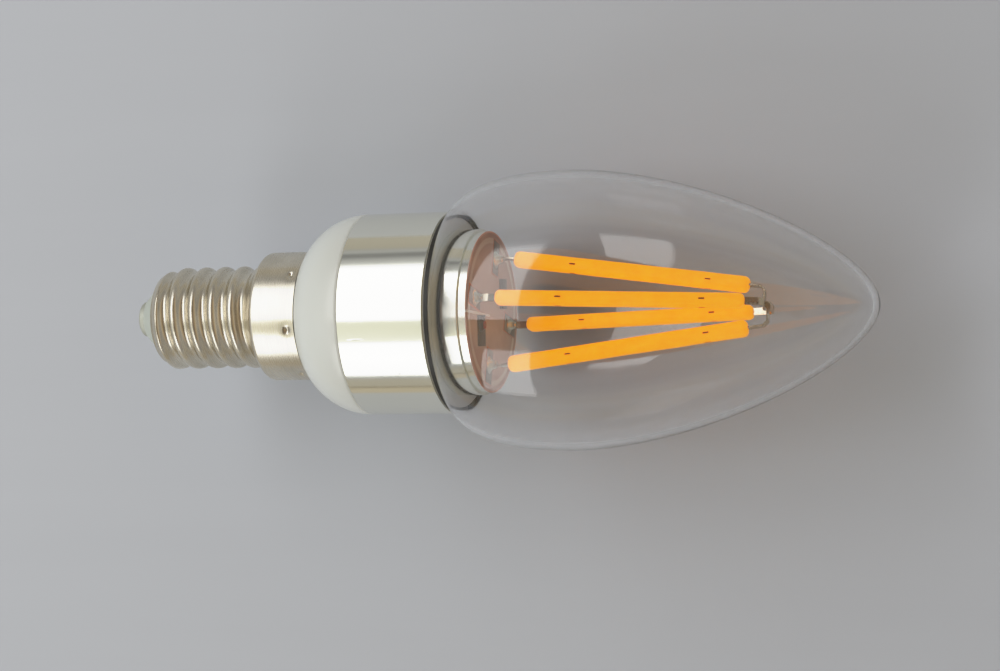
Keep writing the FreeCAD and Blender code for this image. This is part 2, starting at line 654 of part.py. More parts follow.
def route(points, radius):
    """A round wire through the points. Each bend's arc is as large as its two runs allow."""
    places = [Vector(*point) for point in points]
    edges = []
    start = places[0]
    for number in range(1, len(places) - 1):
        corner = places[number]
        back = places[number - 1] - corner
        ahead = places[number + 1] - corner
        trim = 0.45 * min(back.Length, ahead.Length)
        turn = math.pi - back.getAngle(ahead)
        bend = trim / math.tan(turn / 2)
        one = corner + back.normalize() * trim
        two = corner + ahead.normalize() * trim
        towards = (back.normalize() + ahead.normalize()).normalize()
        centre = corner + towards * math.hypot(trim, bend)
        middle = centre - towards * bend
        edges.append(Part.LineSegment(start, one).toShape())
        edges.append(Part.Arc(one, middle, two).toShape())
        start = two
    edges.append(Part.LineSegment(start, places[-1]).toShape())
    path = Part.Wire(edges)
    first = (places[1] - places[0]).normalize()
    ring = Part.Wire([Part.makeCircle(radius, places[0], first)])
    solid = path.makePipeShell([ring], True, True)
    expected = math.pi * radius ** 2 * path.Length
    if abs(solid.Volume / expected - 1) > 0.01:
        raise ValueError("a wire's volume isn't its section times its length")
    return solid


top = size("driver_top")
board_start = size("driver_start")

# Fuse resistor: a body lying on the board, its leads bent down into it
resistor_level = size("resistor_level")
resistor_start = size("resistor_start")
resistor_end = resistor_start + size("resistor_length")
lead = size("lead_radius")
lead_reach = size("lead_reach")
resistor_body = Part.makeCylinder(size("resistor_radius"), size("resistor_length"),
                                  Vector(resistor_start, 0, resistor_level), AXIS_X)
resistor_leads = []
for end, way in ((resistor_start, -1), (resistor_end, 1)):
    resistor_leads.append(route([
        (end - way * lead, 0, resistor_level), (end + way * lead_reach, 0, resistor_level),
        (end + way * lead_reach, 0, top)], lead))
feature("fuse_resistor", resistor_body.fuse(resistor_leads))

# Live wire: from the contact's shank, through the plug, up on to the driver board
mains = size("mains_wire_radius")
mains_level = top + mains
lane = 2.3
stripped = 2.6
shank_end = size("shank_end")
feature("live_wire", route([
    (shank_end, 0, 0), (shank_end + stripped / 2, 0, 0), (board_start - 1, lane, mains_level),
    (board_start + stripped, lane, mains_level)], mains))

# Neutral wire: from the board's other edge, outwards to the inside of the shell's shoulder
shell_touch = size("skirt_bore") - mains - size("fit_gap")
halfway = 0.66
neck_clear = 0.8
feature("neutral_wire", route([
    (board_start + 2, -lane, mains_level), (board_start + 2 + stripped, -lane, mains_level),
    (size("shoulder_start") + mains, -halfway * shell_touch, mains_level),
    (size("neck_start") - neck_clear, -shell_touch, mains_level)], mains))

# Wires to the LED board: off the driver board's end, then through the two holes
thin = size("led_wire_radius")
on_board = 3.0
past_board = 2.0
above_hole = 0.6
hole_y = size("wire_hole_y")
hole_z = size("wire_hole_z")
driver_end = size("driver_end")
for name, lane, sign in (("led_wire_positive", 0.9, 1), ("led_wire_negative", 2.1, -1)):
    feature(name, route([
        (driver_end - on_board, -lane, top + thin), (driver_end + past_board, -lane, top + thin),
        (size("floor_back") - 0.9, sign * hole_y, sign * hole_z),
        (size("board_face") + above_hole, sign * hole_y, sign * hole_z)], thin))


# Checks, then one file for each piece

NODES = ["screw_shell", "cap_insulator", "centre_contact", "housing", "heat_sink", "cover_seal",
         "cover", "led_board", "solder_joints", "driver_board", "smoothing_capacitor", "choke",
         "bridge_rectifier", "driver_chip", "fuse_resistor", "live_wire", "neutral_wire",
         "led_wire_positive", "led_wire_negative"]
for quarter in QUARTERS:
    for kind in ("filament", "filament_foot", "filament_head"):
        NODES.append(f"{kind}_{quarter + 1}")

doc.recompute()
for thing in doc.Objects:
    if "Invalid" in thing.State or "Error" in thing.State:
        raise RuntimeError(f"{thing.Name} failed: {thing.State}")
os.makedirs("parts", exist_ok=True)
for name in NODES:
    piece = [thing for thing in doc.Objects if thing.Label == name][0]
    if piece.Shape.isNull() or not piece.Shape.isValid() or not piece.Shape.Solids:
        raise RuntimeError(f"{name} has no valid solid")
    print(f"{name}: {len(piece.Shape.Solids)} solid, {piece.Shape.Volume:.1f} mm3")
for name in NODES:
    piece = [thing for thing in doc.Objects if thing.Label == name][0]
    piece.Shape.exportStep(f"parts/{name}.step")
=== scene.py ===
# %% [markdown]
# # A candle bulb with LED filaments
# The bulb lies level: its axis runs along +X from the end contact to the tip, and +Z is up.
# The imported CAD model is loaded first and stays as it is. Each shiny or clear part is then
# modelled again with smooth faces, exactly where its CAD node is, because a mirror-like
# surface shows every flat facet of a loose triangle mesh.

# %% Load the frame
import math
import bpy
from mathutils import Euler, Matrix, Vector


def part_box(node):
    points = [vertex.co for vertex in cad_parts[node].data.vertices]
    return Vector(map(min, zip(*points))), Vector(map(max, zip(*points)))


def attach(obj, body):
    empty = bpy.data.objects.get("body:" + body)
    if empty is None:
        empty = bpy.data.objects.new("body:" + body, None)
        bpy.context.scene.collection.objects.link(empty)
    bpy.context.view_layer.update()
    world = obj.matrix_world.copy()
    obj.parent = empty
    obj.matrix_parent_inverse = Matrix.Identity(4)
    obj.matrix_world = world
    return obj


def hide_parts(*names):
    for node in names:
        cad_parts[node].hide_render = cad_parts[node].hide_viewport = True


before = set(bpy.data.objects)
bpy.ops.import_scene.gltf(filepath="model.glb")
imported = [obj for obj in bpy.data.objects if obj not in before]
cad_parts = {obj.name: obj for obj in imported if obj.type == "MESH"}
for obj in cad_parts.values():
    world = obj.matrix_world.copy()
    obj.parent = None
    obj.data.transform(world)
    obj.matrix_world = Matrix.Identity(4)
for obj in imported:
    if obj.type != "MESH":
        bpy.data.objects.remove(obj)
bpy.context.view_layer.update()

# %% [markdown]
# ## Units, colours and nodes
# Everything is in metres, so a size in millimetres is multiplied by MM. Colours are written as
# the sRGB hex values that a colour picker shows, and Blender wants them linear. A material is
# built from few kinds of node, and each kind has a function that returns the node's output.

# %% Units, colours and nodes
MM = 0.001


def linear(hex_colour):
    """An sRGB hex colour as linear red, green, blue and alpha."""
    parts = [int(hex_colour[i:i + 2], 16) / 255 for i in (0, 2, 4)]
    return [p / 12.92 if p <= 0.04045 else ((p + 0.055) / 1.055) ** 2.4 for p in parts] + [1.0]


def fill(tree, node, settings):
    """Sets a node's sockets and properties. A value that is a node's output is linked."""
    for key, value in settings.items():
        if isinstance(value, bpy.types.NodeSocket):
            tree.links.new(value, node.inputs[key])
        elif isinstance(key, int) or key in node.inputs:
            node.inputs[key].default_value = value
        else:
            setattr(node, key, value)
    return node


def add(tree, kind, settings=None):
    """Adds a node and fills it."""
    return fill(tree, tree.nodes.new(kind), settings or {})


def new_material(name):
    """A new material with nodes. Returns the material, its node tree and its shader."""
    material = bpy.data.materials.new(name)
    material.use_nodes = True
    return material, material.node_tree, material.node_tree.nodes["Principled BSDF"]


def place_on_piece(tree):
    """The place on the piece, in metres from the frame's origin."""
    return add(tree, "ShaderNodeTexCoord").outputs["Object"]


def coordinate(tree, axis):
    """One coordinate of the place on the piece, in metres."""
    return add(tree, "ShaderNodeSeparateXYZ", {"Vector": place_on_piece(tree)}).outputs[axis]


def distance_off_axis(tree):
    """How far the place on the piece is from the bulb's axis, in metres."""
    flat = add(tree, "ShaderNodeVectorMath",
               {"operation": "MULTIPLY", 0: place_on_piece(tree), 1: (0, 1, 1)})
    return add(tree, "ShaderNodeVectorMath",
               {"operation": "LENGTH", 0: flat.outputs["Vector"]}).outputs["Value"]


def noise(tree, scale, detail, roughness=0.5, move=(0, 0, 0)):
    """Noise from 0 to 1. Scale is in cycles for each metre: one number, or one for each axis."""
    if not isinstance(scale, tuple):
        scale = (scale, scale, scale)
    place = add(tree, "ShaderNodeMapping",
                {"Vector": place_on_piece(tree), "Scale": scale, "Location": move})
    return add(tree, "ShaderNodeTexNoise",
               {"Vector": place.outputs["Vector"], "Scale": 1.0, "Detail": detail,
                "Roughness": roughness}).outputs["Fac"]


def span(tree, value, start=0.0, end=1.0, low=0.0, high=1.0):
    """Goes evenly from low to high while a value goes from start to end, and stays there."""
    return add(tree, "ShaderNodeMapRange",
               {"Value": value, "From Min": start, "From Max": end, "To Min": low,
                "To Max": high}).outputs["Result"]


def calculate(tree, operation, *values):
    """A Math node. Each value is an output or a number."""
    return add(tree, "ShaderNodeMath",
               {"operation": operation, **dict(enumerate(values))}).outputs[0]


def ramp(tree, value, stops):
    """A colour ramp through stops of (position, linear colour), in rising order."""
    node = add(tree, "ShaderNodeValToRGB", {"Fac": value})
    elements = node.color_ramp.elements
    while len(elements) < len(stops):
        elements.new(0.5)
    for stop, (position, colour) in zip(elements, stops):
        stop.position = position
        stop.color = colour
    return node.outputs["Color"]


def two_tones(tree, value, first, second):
    """A ramp from one hex colour to another."""
    return ramp(tree, value, ((0.0, linear(first)), (1.0, linear(second))))


def blend(tree, share, first, second, blend_type="MIX"):
    """Mixes two colours by a share from 0 to 1. Each is an output or a linear colour."""
    return add(tree, "ShaderNodeMix",
               {"data_type": "RGBA", "blend_type": blend_type, "Factor": share, 6: first,
                7: second}).outputs[2]


def bump(tree, height, strength, depth, **under):
    """The bumps of a height from 0 to 1, over another Normal if one is given. Depth in mm."""
    return add(tree, "ShaderNodeBump",
               {"Height": height, "Strength": strength, "Distance": depth * MM,
                **under}).outputs["Normal"]


# %% [markdown]
# ## Selecting and turning on a lathe
# Operators act on what is selected, so everything is deselected first. A turned part starts as
# one vertex, is extruded point by point along half of its section, and is spun round the axis.

# %% Lathe
SAME_POINT = 0.002


def select_only(piece):
    bpy.ops.object.select_all(action="DESELECT")
    piece.select_set(True)
    bpy.context.view_layer.objects.active = piece


def lathe(name, outline, steps=192, closed=True):
    """Spins a half section round +X. outline holds (station, radius) pairs in millimetres."""
    bpy.ops.object.select_all(action="DESELECT")
    bpy.ops.mesh.primitive_plane_add(size=MM)
    piece = bpy.context.object
    piece.name = name
    points = [Vector((x, r, 0)) * MM for x, r in outline]
    if closed:
        points.append(points[0])
    bpy.ops.object.mode_set(mode="EDIT")
    bpy.ops.mesh.select_all(action="SELECT")
    bpy.ops.mesh.merge(type="CENTER")
    bpy.ops.transform.translate(value=points[0])
    for before, after in zip(points, points[1:]):
        bpy.ops.mesh.extrude_region_move(TRANSFORM_OT_translate={"value": after - before})
    bpy.ops.mesh.select_all(action="SELECT")
    bpy.ops.mesh.spin(steps=steps, angle=math.tau, center=(0, 0, 0), axis=(1, 0, 0))
    bpy.ops.mesh.select_all(action="SELECT")
    bpy.ops.mesh.remove_doubles(threshold=SAME_POINT * MM)
    bpy.ops.mesh.normals_make_consistent(inside=False)
    bpy.ops.object.mode_set(mode="OBJECT")
    smooth(piece)
    return piece


def smooth(piece, angle=32):
    """Shades a piece smooth, but leaves edges sharper than the angle in degrees."""
    select_only(piece)
    bpy.ops.object.shade_smooth_by_angle(angle=math.radians(angle))


def put(piece, turn=0.0, lean=0.0, move=(0, 0, 0)):
    """Moves a mesh, its object left at the origin: leans it from +X towards +Y, moves it in
    millimetres, then turns it about the bulb's axis from +Y towards +Z. Angles in degrees."""
    select_only(piece)
    bpy.ops.object.mode_set(mode="EDIT")
    bpy.ops.mesh.select_all(action="SELECT")
    bpy.ops.transform.rotate(value=-math.radians(lean), orient_axis="Z", center_override=(0, 0, 0))
    bpy.ops.transform.translate(value=Vector(move) * MM)
    bpy.ops.transform.rotate(value=-math.radians(turn), orient_axis="X", center_override=(0, 0, 0))
    bpy.ops.object.mode_set(mode="OBJECT")


def slab(name, low, high, bevel, segments=4):
    """A box between two corners in millimetres, with rounded edges, its object at the origin."""
    bpy.ops.object.select_all(action="DESELECT")
    bpy.ops.mesh.primitive_cube_add(size=MM)
    piece = bpy.context.object
    piece.name = name
    bpy.ops.object.mode_set(mode="EDIT")
    bpy.ops.mesh.select_all(action="SELECT")
    bpy.ops.transform.resize(value=[b - a for a, b in zip(low, high)], center_override=(0, 0, 0))
    bpy.ops.transform.translate(value=[(a + b) / 2 * MM for a, b in zip(low, high)])
    bpy.ops.object.mode_set(mode="OBJECT")
    rounding = piece.modifiers.new("rounding", "BEVEL")
    rounding.width = bevel * MM
    rounding.segments = segments
    bpy.ops.object.modifier_apply(modifier="rounding")
    smooth(piece, 40)
    return piece


def arc(centre, radius, start, end, count):
    """Points of an arc in the section plane. Angles in degrees from +X towards the radius."""
    angles = [math.radians(start + (end - start) * i / count) for i in range(count + 1)]
    return [(centre[0] + radius * math.cos(a), centre[1] + radius * math.sin(a)) for a in angles]


def bezier(poles, count):
    """Points of a cubic curve from its four poles."""
    points = []
    for i in range(count + 1):
        t = i / count
        weights = ((1 - t) ** 3, 3 * (1 - t) ** 2 * t, 3 * (1 - t) * t ** 2, t ** 3)
        points.append(tuple(sum(w * p[k] for w, p in zip(weights, poles)) for k in (0, 1)))
    return points


def dress(piece, material, slot, *nodes):
    """Gives a finished piece its material and hides the CAD nodes that it stands for. The slot is
    not used.
    """
    piece.data.materials.clear()
    piece.data.materials.append(material)
    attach(piece, "root")
    if nodes:
        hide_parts(*nodes)
    print(piece.name, len(piece.data.polygons), "faces")


# %% [markdown]
# ## Stations along the axis
# The stations and radii come from the frame, so that each new piece lies exactly on its node.
# They are in millimetres.

# %% Stations
def low_x(node):
    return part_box(node)[0][0] / MM


def high_x(node):
    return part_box(node)[1][0] / MM


def radius_of(node):
    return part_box(node)[1][1] / MM


CONTACT_HEIGHT = low_x("cap_insulator")
CONTACT_RADIUS = radius_of("centre_contact")
SHANK_END = high_x("centre_contact")
PLUG_BODY = radius_of("cap_insulator")
PLUG_END = high_x("cap_insulator")
SHELL_START = low_x("screw_shell")
RIM = high_x("screw_shell")
SKIRT_RADIUS = radius_of("screw_shell")
NECK_START = low_x("housing")
SLEEVE_END = high_x("housing")
RING_START = low_x("heat_sink")
RING_RADIUS = radius_of("heat_sink")
STEP_FACE = high_x("heat_sink")
SHELF = low_x("cover_seal")
SEAL_RADIUS = radius_of("cover_seal")
COVER_FOOT = low_x("cover")
COVER_TIP = high_x("cover")
BELLY_RADIUS = radius_of("cover")
BOARD_RADIUS = radius_of("led_board")
PAD_FACE = high_x("led_board")
print("stations, mm:", [round(v, 2) for v in (SHELL_START, RIM, RING_START, SHELF, STEP_FACE,
                                              PAD_FACE, COVER_FOOT, COVER_TIP)])

# %% [markdown]
# ## Nickel plate on a rolled brass shell
# The cap is brass sheet, rolled and drawn, with a bright nickel plate. Nickel is a slightly
# yellow mirror. The drawing leaves fine lines round the cap, which blur reflections along
# the axis, so a stretched noise drives a small bump and a small change of roughness. A dark
# line along the rim, where the housing meets it, is painted shade of the gap there.

# %% Nickel
# Painted shade: over the last 0.2 mm before the rim the plate fades to dark 3A3833, the shade in
# the gap next to the housing.
RIM_SHADE_START = RIM - 0.27
RIM_SHADE_FULL = RIM - 0.2
nickel, tree, shader = new_material("nickel_plated_brass")
lines = noise(tree, (9000, 160, 160), 3.0, 0.6)
stain = noise(tree, (210, 190, 190), 4.0, move=(0.3, 0.1, 0.7))
plate = ramp(tree, stain, ((0.36, linear("D0C9B8")), (0.68, linear("E2DCCC"))))
rim_shade = span(tree, coordinate(tree, "X"), RIM_SHADE_START * MM, RIM_SHADE_FULL * MM)
fill(tree, shader, {
    "Metallic": 1.0,
    "Base Color": blend(tree, rim_shade, plate, linear("3A3833")),
    "Roughness": span(tree, lines, low=0.2, high=0.34),
    "Normal": bump(tree, lines, 0.3, 0.012)})

# %% [markdown]
# ## Screw shell
# On the real cap one sheet is rolled into a round thread and drawn out to a smooth skirt, and
# a punch has staked it into the plastic near the rim. A threaded bolt could be made with the
# Screw modifier, but a sheet needs its ends level and its skirt plain. So a plain turned skin
# is made with many rings, and each vertex is then moved to the thread's own radius. Lengths
# are in millimetres and angles in degrees.

# %% Screw shell
SHEET = 0.3
THREAD_RADIUS = 6.9
THREAD_DEPTH = 0.75
PITCH = 2.822
THREAD_ANGLE = 122.0
THREAD_START = 0.1
FADE = 1.3
LIP_RADIUS = 5.5
END_ROUND = 0.3
THREAD_ZONE = 14.1
SHOULDER = 1.7
BELL_OVERSHOOT = 0.6
VALLEY_BLEND = 0.55
SKIRT_BLEND = 0.35
FIRST_RING = 0.35
RING_SPACING = 0.16
CORE = THREAD_RADIUS - THREAD_DEPTH
BEND = ((PITCH / 2) ** 2 + THREAD_DEPTH ** 2) / (4 * THREAD_DEPTH)
SHOULDER_START = SHELL_START + THREAD_ZONE
SKIRT_START = SHOULDER_START + SHOULDER
STAKES = 7
STAKE_STATION = RIM - 1.2
STAKE_RADIUS = 0.5
STAKE_DEPTH = 0.32
DENT_RADIUS = 1.4
DENT_DEPTH = 0.07
STAKE_ANGLE = 51.5


def soft_max(a, b, width):
    """The larger of two heights, rounded where they meet."""
    overlap = max(width - abs(a - b), 0) / width
    return max(a, b) + overlap ** 2 * width / 4


def thread_radius(station, angle):
    """Round crests and round roots of one radius, which rise from nothing at the cap's end."""
    turn = (angle + THREAD_ANGLE) / 360
    along = ((station / PITCH - turn + 0.5) % 1 - 0.5) * PITCH
    away = abs(along)
    if away < PITCH / 4:
        height = THREAD_RADIUS - BEND + math.sqrt(BEND ** 2 - away ** 2)
    else:
        height = CORE + BEND - math.sqrt(BEND ** 2 - (PITCH / 2 - away) ** 2)
    rise = min(max((station - SHELL_START - THREAD_START) / FADE, 0), 1)
    return CORE + (height - CORE) * math.sin(rise * math.pi / 2) ** 2


def shell_radius(station, angle):
    """Thread, bell-shaped shoulder and skirt in one, with the stakes pressed in."""
    slope = (SKIRT_RADIUS - CORE) / SHOULDER
    bell = min(CORE + slope * (station - SHOULDER_START), SKIRT_RADIUS + BELL_OVERSHOOT)
    threaded = thread_radius(station, angle) if station < SKIRT_START else CORE
    radius = soft_max(threaded, bell, VALLEY_BLEND)
    radius = -soft_max(-radius, -SKIRT_RADIUS, SKIRT_BLEND)
    for number in range(STAKES):
        off = (angle - STAKE_ANGLE - 360 * number / STAKES + 180) % 360 - 180
        across = math.radians(off) * SKIRT_RADIUS
        away = math.hypot(across, station - STAKE_STATION)
        if away < DENT_RADIUS:
            radius -= DENT_DEPTH * (1 + math.cos(math.pi * away / DENT_RADIUS)) / 2
        if away < STAKE_RADIUS:
            radius -= STAKE_DEPTH * (1 - away / STAKE_RADIUS)
    return radius


ring_count = int((RIM - SHELL_START - FIRST_RING) / RING_SPACING)
skin = [(SHELL_START + 0.02, LIP_RADIUS), (SHELL_START, LIP_RADIUS + 0.2),
        (SHELL_START, CORE - END_ROUND - 0.02)]
skin += arc((SHELL_START + END_ROUND, CORE - END_ROUND), END_ROUND, 170, 100, 5)
skin += [(SHELL_START + FIRST_RING + RING_SPACING * i, CORE) for i in range(ring_count)]
skin += [(RIM, CORE)]
shell = lathe("shell", skin, steps=224, closed=False)
for vertex in shell.data.vertices:
    x, y, z = vertex.co / MM
    if x < SHELL_START + END_ROUND:
        continue
    angle = math.atan2(z, y)
    radius = shell_radius(x, math.degrees(angle))
    vertex.co = Vector((x, radius * math.cos(angle), radius * math.sin(angle))) * MM
select_only(shell)
bpy.ops.object.mode_set(mode="EDIT")
bpy.ops.mesh.select_all(action="SELECT")
bpy.ops.mesh.normals_make_consistent(inside=False)
bpy.ops.object.mode_set(mode="OBJECT")
sheet = shell.modifiers.new("sheet", "SOLIDIFY")
sheet.thickness = SHEET * MM
sheet.offset = -1
bpy.ops.object.modifier_apply(modifier="sheet")
smooth(shell, 60)
dress(shell, nickel, "nickel", "screw_shell")

# %% [markdown]
# ## Insulating plug and end contact
# The plug is a pale moulding, a little green, and lets some light in. The contact is a tinned
# rivet head, dull grey and slightly uneven where a spring has pressed on it.

# %% Plug and contact
plug_plastic, tree, shader = new_material("moulded_insulator")
fill(tree, shader, {
    "Base Color": two_tones(tree, noise(tree, 420, 3.0), "C2CAC0", "CFD6CC"),
    "Roughness": 0.42, "IOR": 1.5,
    "Subsurface Weight": 0.25, "Subsurface Scale": 1.0,
    "Subsurface Radius": (0.9 * MM, 1.0 * MM, 0.8 * MM)})

tinned, tree, shader = new_material("tinned_contact")
cloud = noise(tree, 900, 4.0)
fill(tree, shader, {
    "Metallic": 1.0, "Base Color": linear("CFD2C8"),
    "Roughness": span(tree, cloud, low=0.55, high=0.75),
    "Normal": bump(tree, cloud, 0.35, 0.04)})

CONTACT_ROUND = 0.35
SHANK_RADIUS = 0.9
SHANK_HOLE = SHANK_RADIUS + 0.05
NOSE_RADIUS = 3.0
PLUG_NECK = 5.45
PLUG_STEP = SHELL_START + 0.4
contact_edge = CONTACT_RADIUS - CONTACT_ROUND
contact_outline = [(0, 0), (0, contact_edge)]
contact_outline += arc((CONTACT_ROUND, contact_edge), CONTACT_ROUND, 180, 90, 6)[1:]
contact_outline += [(CONTACT_HEIGHT, CONTACT_RADIUS), (CONTACT_HEIGHT, SHANK_RADIUS),
                    (SHANK_END, SHANK_RADIUS), (SHANK_END, 0)]
contact = lathe("end_contact", contact_outline, steps=72, closed=False)
dress(contact, tinned, "contact_metal", "centre_contact")
plug_outline = [
    (CONTACT_HEIGHT, SHANK_HOLE), (CONTACT_HEIGHT, NOSE_RADIUS - 0.2),
    (CONTACT_HEIGHT + 0.06, NOSE_RADIUS - 0.06), (CONTACT_HEIGHT + 0.2, NOSE_RADIUS + 0.1),
    (SHELL_START - 0.2, PLUG_NECK - 0.2), (SHELL_START, PLUG_NECK), (PLUG_STEP, PLUG_NECK),
    (PLUG_STEP, PLUG_BODY), (PLUG_END, PLUG_BODY), (PLUG_END, SHANK_HOLE)]
plug = lathe("insulating_plug", plug_outline, steps=96)
dress(plug, plug_plastic, "plug_plastic", "cap_insulator")

# %% [markdown]
# ## Glossy white housing
# The housing is a moulding in white plastic, such as PBT or ABS: a clear gloss over a body
# that scatters light just under its surface. The mould's polish is good but the wall has
# shrunk a little, so broad reflections waver. A large soft noise in the bump gives that. A
# narrow band of the housing next to the shell's rim is painted dark: painted shade of the gap.

# %% White housing
# Painted shade: the housing's foot next to the shell's rim is dark 47453F, fading to white a
# little further along.
FOOT_SHADE_START = RIM + 0.18
FOOT_SHADE_END = RIM + 0.27
white_plastic, tree, shader = new_material("moulded_white_plastic")
unshaded = span(tree, coordinate(tree, "X"), FOOT_SHADE_START * MM, FOOT_SHADE_END * MM)
fill(tree, shader, {
    "Base Color": two_tones(tree, unshaded, "47453F", "EBF0EC"),
    "Roughness": span(tree, noise(tree, 2600, 3.0), low=0.16, high=0.27), "IOR": 1.5,
    "Subsurface Weight": 0.2, "Subsurface Scale": 1.0,
    "Subsurface Radius": (1.2 * MM, 1.2 * MM, 1.2 * MM),
    "Normal": bump(tree, noise(tree, 190, 2.0), 0.5, 0.06)})

DOME_START = RIM + 0.12
DOME_ROUND = 9.0
DOME_CENTRE = RING_RADIUS - DOME_ROUND
DOME_WALL = 1.5
DOME_SET_IN = 0.08
FIT_GAP = 0.05
RING_WALL = 1.6
NECK_RADIUS = SKIRT_RADIUS - SHEET - STAKE_DEPTH - DENT_DEPTH - FIT_GAP
NECK_BORE = NECK_RADIUS - 1.2
SLEEVE_RADIUS = RING_RADIUS - RING_WALL - FIT_GAP
SLEEVE_BORE = SLEEVE_RADIUS - 1.0


def dome_angle(radius, bow):
    """The angle on an arc about the dome's centre where it reaches a radius."""
    return 180 - math.degrees(math.asin((radius - DOME_CENTRE) / bow))


dome_foot = 180 - math.degrees(math.acos((RING_START - DOME_START) / DOME_ROUND))
housing_outline = [(NECK_START, NECK_BORE), (NECK_START, NECK_RADIUS), (DOME_START, NECK_RADIUS)]
housing_outline += arc((RING_START, DOME_CENTRE), DOME_ROUND, dome_foot, 91, 40)
housing_outline += [(RING_START, RING_RADIUS - DOME_SET_IN), (RING_START, SLEEVE_RADIUS),
                    (SLEEVE_END, SLEEVE_RADIUS), (SLEEVE_END, SLEEVE_BORE)]
inner_bow = DOME_ROUND - DOME_WALL
housing_outline += arc((RING_START, DOME_CENTRE), inner_bow, dome_angle(SLEEVE_BORE, inner_bow),
                       dome_angle(NECK_BORE, inner_bow), 12)
housing = lathe("white_housing", housing_outline, steps=224)
dress(housing, white_plastic, "white_plastic", "housing")

# %% [markdown]
# ## Polished aluminium heat sink
# The heat sink is turned from aluminium bar and polished. Aluminium is an almost neutral
# mirror. The tool and the polishing leave fine lines round it, about 0.05 mm apart, drawn
# here a little coarser so that they show. This ring also has a fine scratch and two specks
# on its upper side, each given by its station, its y, its half length and its half width.

# %% Heat sink
LINE_SPACING = 0.09
SCRATCH = (36.1, -3.3, 1.3, 0.09)
SPECKS = ((43.9, 2.75, 0.16, 0.09), (41.2, -7.75, 0.3, 0.14))
SPOT_HEIGHT = 5


def spot(tree, x, y, half_length, half_width):
    """1 on a small oblong patch of the upper side, 0 elsewhere. Sizes in millimetres."""
    near = add(tree, "ShaderNodeVectorMath",
               {"operation": "SUBTRACT", 0: place_on_piece(tree),
                1: (x * MM, y * MM, RING_RADIUS * MM)})
    size = add(tree, "ShaderNodeVectorMath",
               {"operation": "MULTIPLY", 0: near.outputs["Vector"],
                1: (1 / (half_length * MM), 1 / (half_width * MM), 1 / (SPOT_HEIGHT * MM))})
    away = add(tree, "ShaderNodeVectorMath", {"operation": "LENGTH", 0: size.outputs["Vector"]})
    return span(tree, away.outputs["Value"], 1.0, 0.4)


aluminium, tree, shader = new_material("turned_aluminium")
lines = noise(tree, (1 / (LINE_SPACING * MM), 25, 25), 4.0, 0.65)
specks = calculate(tree, "MAXIMUM", *[spot(tree, *speck) for speck in SPECKS])
fill(tree, shader, {
    "Metallic": 1.0,
    "Base Color": blend(tree, specks, linear("EDEDE2"), linear("5E5A4E")),
    "Roughness": span(tree, noise(tree, 260, 3.0), low=0.09, high=0.16),
    "Normal": bump(tree, spot(tree, *SCRATCH), 1.0, 0.03, Normal=bump(tree, lines, 0.12, 0.004))})

STEP_RADIUS = 10.9
EDGE = 0.15
STEP_EDGE = 0.04
GUARD = 0.06
SINK_BORE = RING_RADIUS - RING_WALL
STEP_BORE = STEP_RADIUS - 1.4
SHELF_BACK = SHELF - 1.5
FLOOR_BACK = STEP_FACE - 1.2
sink_outline = [(RING_START, SINK_BORE), (RING_START, RING_RADIUS - EDGE)]
sink_outline += arc((RING_START + EDGE, RING_RADIUS - EDGE), EDGE, 180, 90, 4)[1:]
sink_outline += [(RING_START + EDGE + GUARD, RING_RADIUS), (SHELF - EDGE - GUARD, RING_RADIUS)]
sink_outline += arc((SHELF - EDGE, RING_RADIUS - EDGE), EDGE, 90, 0, 4)
sink_outline += [(SHELF, STEP_RADIUS), (STEP_FACE - STEP_EDGE - GUARD, STEP_RADIUS)]
sink_outline += arc((STEP_FACE - STEP_EDGE, STEP_RADIUS - STEP_EDGE), STEP_EDGE, 90, 0, 3)
sink_outline += [(STEP_FACE, 0), (FLOOR_BACK, 0), (FLOOR_BACK, STEP_BORE), (SHELF_BACK, STEP_BORE),
                 (SHELF_BACK, SINK_BORE)]
sink = lathe("turned_heat_sink", sink_outline, steps=256)
dress(sink, aluminium, "aluminium", "heat_sink")

# %% [markdown]
# ## Sealant
# A silicone bead closes the joint between the shelf and the cover's foot. It is put on
# as a bead and pressed by the cover, so its outer edge is rounded and its face is uneven.
# Inside the cover's foot it is wiped so thin that the bright metal shows through. The bead is
# pale, and its outer edge is painted dark: painted shade of the gap between shelf and cover.

# %% Sealant
BARE_RADIUS = 12.4
WIPED_RADIUS = 12.55
# Painted shade: the bead is pale E6E6E0, and its outer edge, from about 13.15 mm off the axis, is
# dark 34332F.
EDGE_SHADE_START = 13.13
EDGE_SHADE_FULL = 13.17
sealant, tree, shader = new_material("silicone_sealant")
reach = distance_off_axis(tree)
cloud = noise(tree, 700, 4.0)
edge_shade = span(tree, reach, EDGE_SHADE_START * MM, EDGE_SHADE_FULL * MM)
fill(tree, shader, {
    "Base Color": two_tones(tree, edge_shade, "E6E6E0", "34332F"), "IOR": 1.42,
    "Metallic": span(tree, reach, WIPED_RADIUS * MM, BARE_RADIUS * MM),
    "Roughness": span(tree, cloud, low=0.3, high=0.5),
    "Normal": bump(tree, cloud, 0.4, 0.08)})

SEAL_BORE = STEP_RADIUS + 0.01
SEAL_ROUND = 0.12
seal_outline = [(SHELF, SEAL_BORE), (SHELF, SEAL_RADIUS - SEAL_ROUND),
                (SHELF + SEAL_ROUND, SEAL_RADIUS), (COVER_FOOT - SEAL_ROUND, SEAL_RADIUS),
                (COVER_FOOT, SEAL_RADIUS - SEAL_ROUND), (COVER_FOOT, SEAL_BORE)]
seal = lathe("sealant_bead", seal_outline, steps=192)
dress(seal, sealant, "sealant", "cover_seal")

# %% [markdown]
# ## Clear cover
# The cover is clear glass with an even wall, drawn to a blunt candle tip. The shader is
# Principled glass: full transmission and the usual IOR. Its inner and outer faces are both
# modelled, so the reflections double as they do on the real one.

